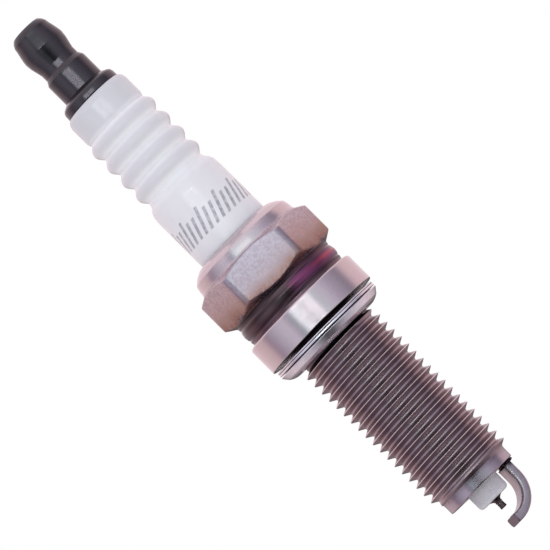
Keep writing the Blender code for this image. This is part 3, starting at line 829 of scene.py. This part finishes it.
def make_gasket(paint):
    """The folded ring: a flat top layer, the seam and the rolled foot."""
    top = GASKET_TOP - 0.12
    seam = 7.3
    bore = 5.62
    outline = rounded([
        (5.75, top, 0.1),
        (7.97, top, 0.06),
        (8.03, top - 0.1, 0.05),
        (8.0, top - 0.2, 0.02),
        (7.88, top - 0.24, 0.02),
        (8.0, top - 0.28, 0.02),
        (8.04, top - 0.36, 0.04),
        (GASKET_RADIUS, 1.44, 0.04),
        (seam, 1.41, 0.02),
        (seam, 1.29, 0.02),
        (GASKET_RADIUS, 1.25, 0.05),
        (8.03, 1.15, 0.3),
        (7.78, 0.85, 0.6),
        (7.45, 0.42, 0.6),
        (6.95, 0.14, 0.6),
        (6.5, 0.0, 0.3),
        (5.95, 0.0, 0.2),
        (bore, 0.35, 0.3),
        (bore, 1.9, 0.15),
    ])
    points, faces = ring_grid(outline + [outline[0]], SIDES)
    tilt = Matrix.Rotation(GASKET_TILT, 3, "X")
    points = np.array([tuple(tilt @ Vector(p)) for p in points])
    return piece("folded_gasket", [(points, faces)], paint, "gasket", "gasket")


def make_center_electrode(paint):
    """The headed electrode, whose cone shows at the nose, with its weld bead and fine wire."""
    cone_end = -27.86
    bead_end = -28.18
    stem = 1.05
    head = 1.8
    core = 0.75
    bead = 0.44
    tip = 0.43
    body_outline = rounded([
        (0, -25.7),
        (core, -25.5, 0.05),
        (core, 4.3, 0.05),
        (stem, 4.3, 0.05),
        (stem, 3.3, 0.05),
        (head, 3.3, 0.1),
        (head, 2.35, 0.1),
        (stem, 1.6, 0.1),
        (stem, NOSE_TIP + 0.1, 0.1),
        (0.95, NOSE_TIP - 0.03, 0.06),
        (0.58, -27.66, 0.35),
        (0.45, cone_end, 0.05),
        (0, cone_end),
    ])
    bead_outline = rounded([
        (0, cone_end - 0.01),
        (bead, cone_end - 0.01, 0.04),
        (bead + 0.03, -28.0, 0.1),
        (bead, bead_end + 0.01, 0.06),
        (0, bead_end),
    ])
    tip_outline = rounded([
        (0, bead_end - 0.01),
        (tip, bead_end - 0.01, 0.03),
        (tip, -28.6, 0.2),
        (WIRE_RADIUS, -28.78, 0.08),
        (WIRE_RADIUS - 0.01, WIRE_END, 0.12),
        (0, WIRE_END),
    ])
    turned("electrode_stem", body_outline, paint, "plug", "center_electrode")
    turned("electrode_weld_bead", bead_outline, paint, "plug", "center_tip_weld")
    turned("fine_wire", tip_outline, paint, "plug", "center_tip")


def rounded_section(width, thickness, corner, steps=5):
    """A rounded rectangle as (across, through) points."""
    points = []
    for k, (sx, sz) in enumerate(((1, 1), (-1, 1), (-1, -1), (1, -1))):
        for step in range(steps + 1):
            angle = math.radians(90 * (k + step / steps))
            across = sx * (width / 2 - corner) + corner * math.cos(angle)
            through = sz * (thickness / 2 - corner) + corner * math.sin(angle)
            points.append((across, through))
    return np.array(points)


def strap_path():
    """The strap's middle line as (outward, height, turn): down the leg, round the bend and in to the tip."""
    middle = STRAP_OUTER_BEND - STRAP_THICKNESS / 2
    bend_height = STRAP_BOTTOM + STRAP_OUTER_BEND
    level_height = bend_height - middle
    leg_heights = np.linspace(SHELL_END - 0.25, bend_height, 8)[:-1]
    path = [(STRAP_BEND_X + middle, z, 0.0) for z in leg_heights]
    for turn in np.linspace(0, math.pi / 2, 30):
        out = STRAP_BEND_X + middle * math.cos(turn)
        path.append((out, bend_height - middle * math.sin(turn), turn))
    for out in np.linspace(STRAP_BEND_X, STRAP_TIP_X, 4)[1:]:
        path.append((out, level_height, math.pi / 2))
    return path


def make_strap(paint):
    """The J-shaped ground electrode: a rounded bar that bends in under the wire, cut square at its end."""
    path = strap_path()
    section = rounded_section(STRAP_WIDTH, STRAP_THICKNESS, 0.38)
    across = Vector((-math.sin(STRAP_TURN), math.cos(STRAP_TURN), 0))
    outward = Vector((math.cos(STRAP_TURN), math.sin(STRAP_TURN), 0))
    downward = Vector((0, 0, -1))
    tip_out, tip_height, tip_turn = path[-1]
    # Each cross-section's place and its scale, which shrinks towards both closed ends
    stations = [(path[0], 0.82), (path[0], 0.95)]
    stations += [(place, 1.0) for place in path[:-1]]
    for short_of_tip, scale in ((0.06, 1.0), (0.015, 0.985), (0.0, 0.955), (0.0, 0.93), (0.0, 0.5)):
        stations.append(((tip_out + short_of_tip, tip_height, tip_turn), scale))
    rows = []
    for (out, height, turn), scale in stations:
        through = outward * math.cos(turn) + downward * math.sin(turn)
        centre = outward * out - downward * height
        rows.append([centre + across * (a * scale) + through * (t * scale) for a, t in section])
    points = np.array([tuple(p) for row in rows for p in row])
    grid = (points, quads(len(rows), len(section)))
    return piece("ground_strap", [grid], paint, "plug", "ground_electrode")


def make_strap_weld(paint):
    """The upset flash round the strap's root: a thin squashed bead with a ragged edge and one spike."""
    centre = Vector((math.cos(STRAP_TURN), math.sin(STRAP_TURN), 0)) * 4.27
    centre.z = SHELL_END - 0.16
    half_through, half_across, half_high = 0.72, 1.42, 0.21
    spike_turn, spike_lift = 5.9, 1.7
    bead, rows, sides = [], 18, 96
    for row in range(rows + 1):
        lift = math.pi * row / rows
        for side in range(sides):
            turn = 2 * math.pi * side / sides
            ragged = 1 + 0.04 * math.sin(5 * turn + 1) + 0.04 * math.sin(11 * turn) * math.sin(lift)
            ragged += 0.03 * math.sin(17 * turn + 4 * lift)
            spike = 0.22 * math.exp(-((turn - spike_turn) / 0.12) ** 2 - ((lift - spike_lift) / 0.5) ** 2)
            box = (abs(math.cos(turn)) ** 4 + abs(math.sin(turn)) ** 4) ** -0.25
            out = math.sin(lift) ** 0.6 * (ragged + spike) * box
            x = half_through * out * math.cos(turn)
            y = half_across * out * math.sin(turn)
            z = half_high * math.copysign(abs(math.cos(lift)) ** 0.8, math.cos(lift))
            bead.append((x, y, z))
    spin = Matrix.Rotation(STRAP_TURN, 3, "Z")
    points = np.array([tuple(centre + spin @ Vector(p)) for p in bead])
    grid = (points, quads(rows + 1, sides))
    return piece("strap_weld_flash", [grid], paint, "plug", "ground_electrode_weld")


def make_pad(paint):
    """The precious-metal pad that faces the wire, set nearly flush in the strap."""
    inner_face = STRAP_BOTTOM + STRAP_THICKNESS
    top = inner_face + 0.05
    bottom = inner_face - 0.12
    outline = rounded([(0, top), (0.39, top, 0.03), (0.42, bottom, 0.02), (0, bottom)])
    return turned("ground_pad", outline, paint, "plug", "ground_tip")


def paint_inner_nodes():
    """The sealed pieces keep their CAD shape and get their real materials."""
    glass = dull("conductive_glass", (0.03, 0.03, 0.035), (0.09, 0.09, 0.1), 0.25)
    core = dull("copper", (0.55, 0.24, 0.14), (0.8, 0.42, 0.27), 0.3, 1.0, depth=0.005)
    packing = turned_metal("packing_steel", (0.45, 0.43, 0.43))
    inner = {
        "upper_glass_seal": glass,
        "lower_glass_seal": glass,
        "resistor": dull("resistor_body", (0.04, 0.03, 0.03), (0.12, 0.1, 0.09), 0.7, per_mm=4.0),
        "center_electrode_core": core,
        "ground_electrode_core": core,
        "seat_packing": packing,
        "lower_packing_ring": packing,
        "upper_packing_ring": packing,
        "talc_ring": dull("talc", (0.66, 0.65, 0.6), (0.82, 0.81, 0.77), 0.9, per_mm=3.0, depth=0.05),
    }
    for node, paint in inner.items():
        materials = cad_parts[node].data.materials
        materials.clear()
        materials.append(paint)


# ---------------------------------------------------------------- studio

# What the plug reflects, by the direction in degrees from -Y towards +X
SURROUNDINGS = [
    (-180, (1.0, 0.86, 0.9)),
    (-135, (0.9, 0.74, 0.78)),
    (-117, (0.83, 0.7, 0.71)),
    (-103, (0.74, 0.61, 0.65)),
    (-93, (0.5, 0.42, 0.5)),
    (-88, (0.45, 0.38, 0.48)),
    (-75, (0.54, 0.52, 0.63)),
    (-56, (0.71, 0.72, 0.84)),
    (-44, (0.78, 0.78, 0.9)),
    (-36, (0.62, 0.62, 0.74)),
    (-29, (0.5, 0.56, 0.65)),
    (-20, (0.75, 0.95, 1.0)),
    (0, (0.8, 0.94, 0.99)),
    (27, (0.8, 0.92, 1.0)),
    (41, (0.75, 0.78, 0.9)),
    (59, (0.57, 0.54, 0.67)),
    (79, (0.41, 0.39, 0.48)),
    (87, (0.37, 0.34, 0.42)),
    (93, (0.46, 0.4, 0.48)),
    (103, (0.78, 0.66, 0.7)),
    (113, (0.92, 0.75, 0.79)),
    (140, (0.96, 0.8, 0.84)),
    (180, (1.0, 0.86, 0.9)),
]
TOP_COLOUR = (1.0, 0.92, 1.0)
FOOT_COLOUR = (0.88, 0.82, 0.9)
SOFT_BOX_COLOUR = (0.95, 0.94, 1.0)
# The soft boxes' brightness across, by degrees to either side of -Y: two low down, joined into one above
BOX_PAIR = [(3, 0), (11, 0.9), (14, 1.0), (18, 0.9), (25, 0.0)]
JOINED_BOX = [(17, 1.0), (25, 0.0)]
# And their brightness upwards, by the sine of elevation
LOW_BOXES = [(0.035, 0), (0.05, 0.11), (0.08, 0.11), (0.086, 1.2), (0.11, 1.2), (0.117, 0.0)]
HIGH_BOX = [
    (0.113, 0),
    (0.117, 9.0),
    (0.135, 9.0),
    (0.14, 1.1),
    (0.21, 1.1),
    (0.22, 0.3),
    (0.45, 0.3),
    (0.5, 0.0),
]


def in_radians(stops):
    """The same (degrees, level) stops with their angles in radians."""
    return [(math.radians(angle), level) for angle, level in stops]


def make_world():
    """The studio round the plug: mauve-grey walls, shaded along the middle, and soft boxes in front.

    The camera sees plain white in their place."""
    world = bpy.data.worlds.new("studio")
    bpy.context.scene.world = world
    world.use_nodes = True
    n = Nodes(world.node_tree)
    n.tree.nodes.clear()
    x, y, z = n.add("ShaderNodeSeparateXYZ", n.add("ShaderNodeTexCoord").outputs["Generated"]).outputs
    azimuth = n.math("ARCTAN2", x, n.math("MULTIPLY", y, -1.0))
    turn = n.math("MULTIPLY_ADD", azimuth, 0.5 / math.pi, 0.5)
    around = n.ramp(turn, [(0.5 + degrees / 360, colour) for degrees, colour in SURROUNDINGS])
    near_top = n.steps(z, [(0.35, 0.0), (0.95, 1.0)])
    near_foot = n.steps(z, [(-0.95, 1.0), (-0.5, 0.0)])
    walls = n.mix(near_foot, n.mix(near_top, around, TOP_COLOUR), FOOT_COLOUR)
    middle = n.steps(n.math("ABSOLUTE", x), [(0.1, 1.0), (0.45, 0.4), (0.7, 0.1), (0.95, 0.0)])
    low = n.steps(z, [(-0.3, 0.88), (0.02, 0.8), (0.045, 0.0)])
    shade = n.math("SUBTRACT", 1.0, n.math("MULTIPLY", middle, low))
    across = n.math("ABSOLUTE", azimuth)
    low_glow = n.math("MULTIPLY", n.steps(across, in_radians(BOX_PAIR)), n.steps(z, LOW_BOXES))
    joined = n.steps(across, in_radians(JOINED_BOX))
    glow = n.math("MULTIPLY_ADD", joined, n.steps(z, HIGH_BOX), low_glow)
    plain = n.add("ShaderNodeBackground", walls, shade)
    box_light = n.add("ShaderNodeBackground", (*SOFT_BOX_COLOUR, 1.0), glow)
    lit = n.add("ShaderNodeAddShader", plain.outputs[0], box_light.outputs[0])
    white = n.add("ShaderNodeBackground", (1.0, 1.0, 1.0, 1.0), 1.0)
    seen = n.add("ShaderNodeLightPath").outputs["Is Camera Ray"]
    pick = n.add("ShaderNodeMixShader", seen, lit.outputs[0], white.outputs[0])
    n.add("ShaderNodeOutputWorld", pick.outputs[0])


def make_floor():
    """A plain pale round floor under the plug, which shows from above only."""
    radius = 5.0  # metres
    clearance = 12.0 * MM
    turns = [2 * math.pi * i / FINE_SIDES for i in range(FINE_SIDES)]
    rim = [(radius * math.cos(turn), radius * math.sin(turn), 0) for turn in turns]
    mesh = bpy.data.meshes.new("floor")
    mesh.from_pydata(rim, [], [range(FINE_SIDES)])
    floor = bpy.data.objects.new("floor", mesh)
    bpy.context.scene.collection.objects.link(floor)
    floor.location.z = cad_bounds[0].z - clearance
    floor.visible_glossy = False
    p = Paint("pale_floor", (0.85, 0.85, 0.86), 0.6)
    p.set("Base Color", p.mix(p.noise(0.02, 2.0), (0.93, 0.97, 0.92), (0.95, 0.99, 0.94)))
    under = p.add("ShaderNodeNewGeometry").outputs["Backfacing"]
    clear = p.add("ShaderNodeBsdfTransparent").outputs[0]
    blend = p.add("ShaderNodeMixShader", under, p.shader.outputs[0], clear)
    p.tree.links.new(blend.outputs[0], p.tree.nodes["Material Output"].inputs[0])
    mesh.materials.append(p.material)


def make_camera():
    """A long lens that looks up a little, rolled so that the plug lies along the picture's diagonal."""
    distance = 0.75  # metres, as is the width of what it frames
    view_width = 0.06707
    centre = Vector((0.32, 0.0, 10.79)) * MM
    elevation = math.radians(-4.0)
    roll = math.radians(44.9)
    back = Vector((0, -math.cos(elevation), math.sin(elevation)))
    along = Vector((0, math.sin(elevation), math.cos(elevation)))
    sideways = Vector((1, 0, 0))
    right = sideways * math.sin(roll) - along * math.cos(roll)
    up = back.cross(right)
    data = bpy.data.cameras.new("camera")
    data.sensor_width = 36
    data.lens = data.sensor_width * distance / view_width
    data.clip_start = 0.05
    data.clip_end = 10
    camera = bpy.data.objects.new("camera", data)
    bpy.context.scene.collection.objects.link(camera)
    turn = Matrix((right, up, back)).transposed().to_4x4()
    camera.matrix_world = Matrix.Translation(centre + back * distance) @ turn
    bpy.context.scene.camera = camera


make_camera()
make_world()
make_floor()
bpy.context.scene.view_settings.view_transform = "Standard"

make_terminal(blackened_steel())
make_stud(blackened_steel())
make_insulator(glazed_ceramic())
make_shell(shell_metal())
make_gasket(gasket_metal())
make_center_electrode(oxidised_nickel())
make_strap(strap_metal())
make_strap_weld(dull("weld_flash", (0.03, 0.025, 0.03), (0.12, 0.1, 0.11), 0.4, 1.0, 4.0, 0.03))
make_pad(turned_metal("precious_metal", (0.6, 0.59, 0.57)))
paint_inner_nodes()
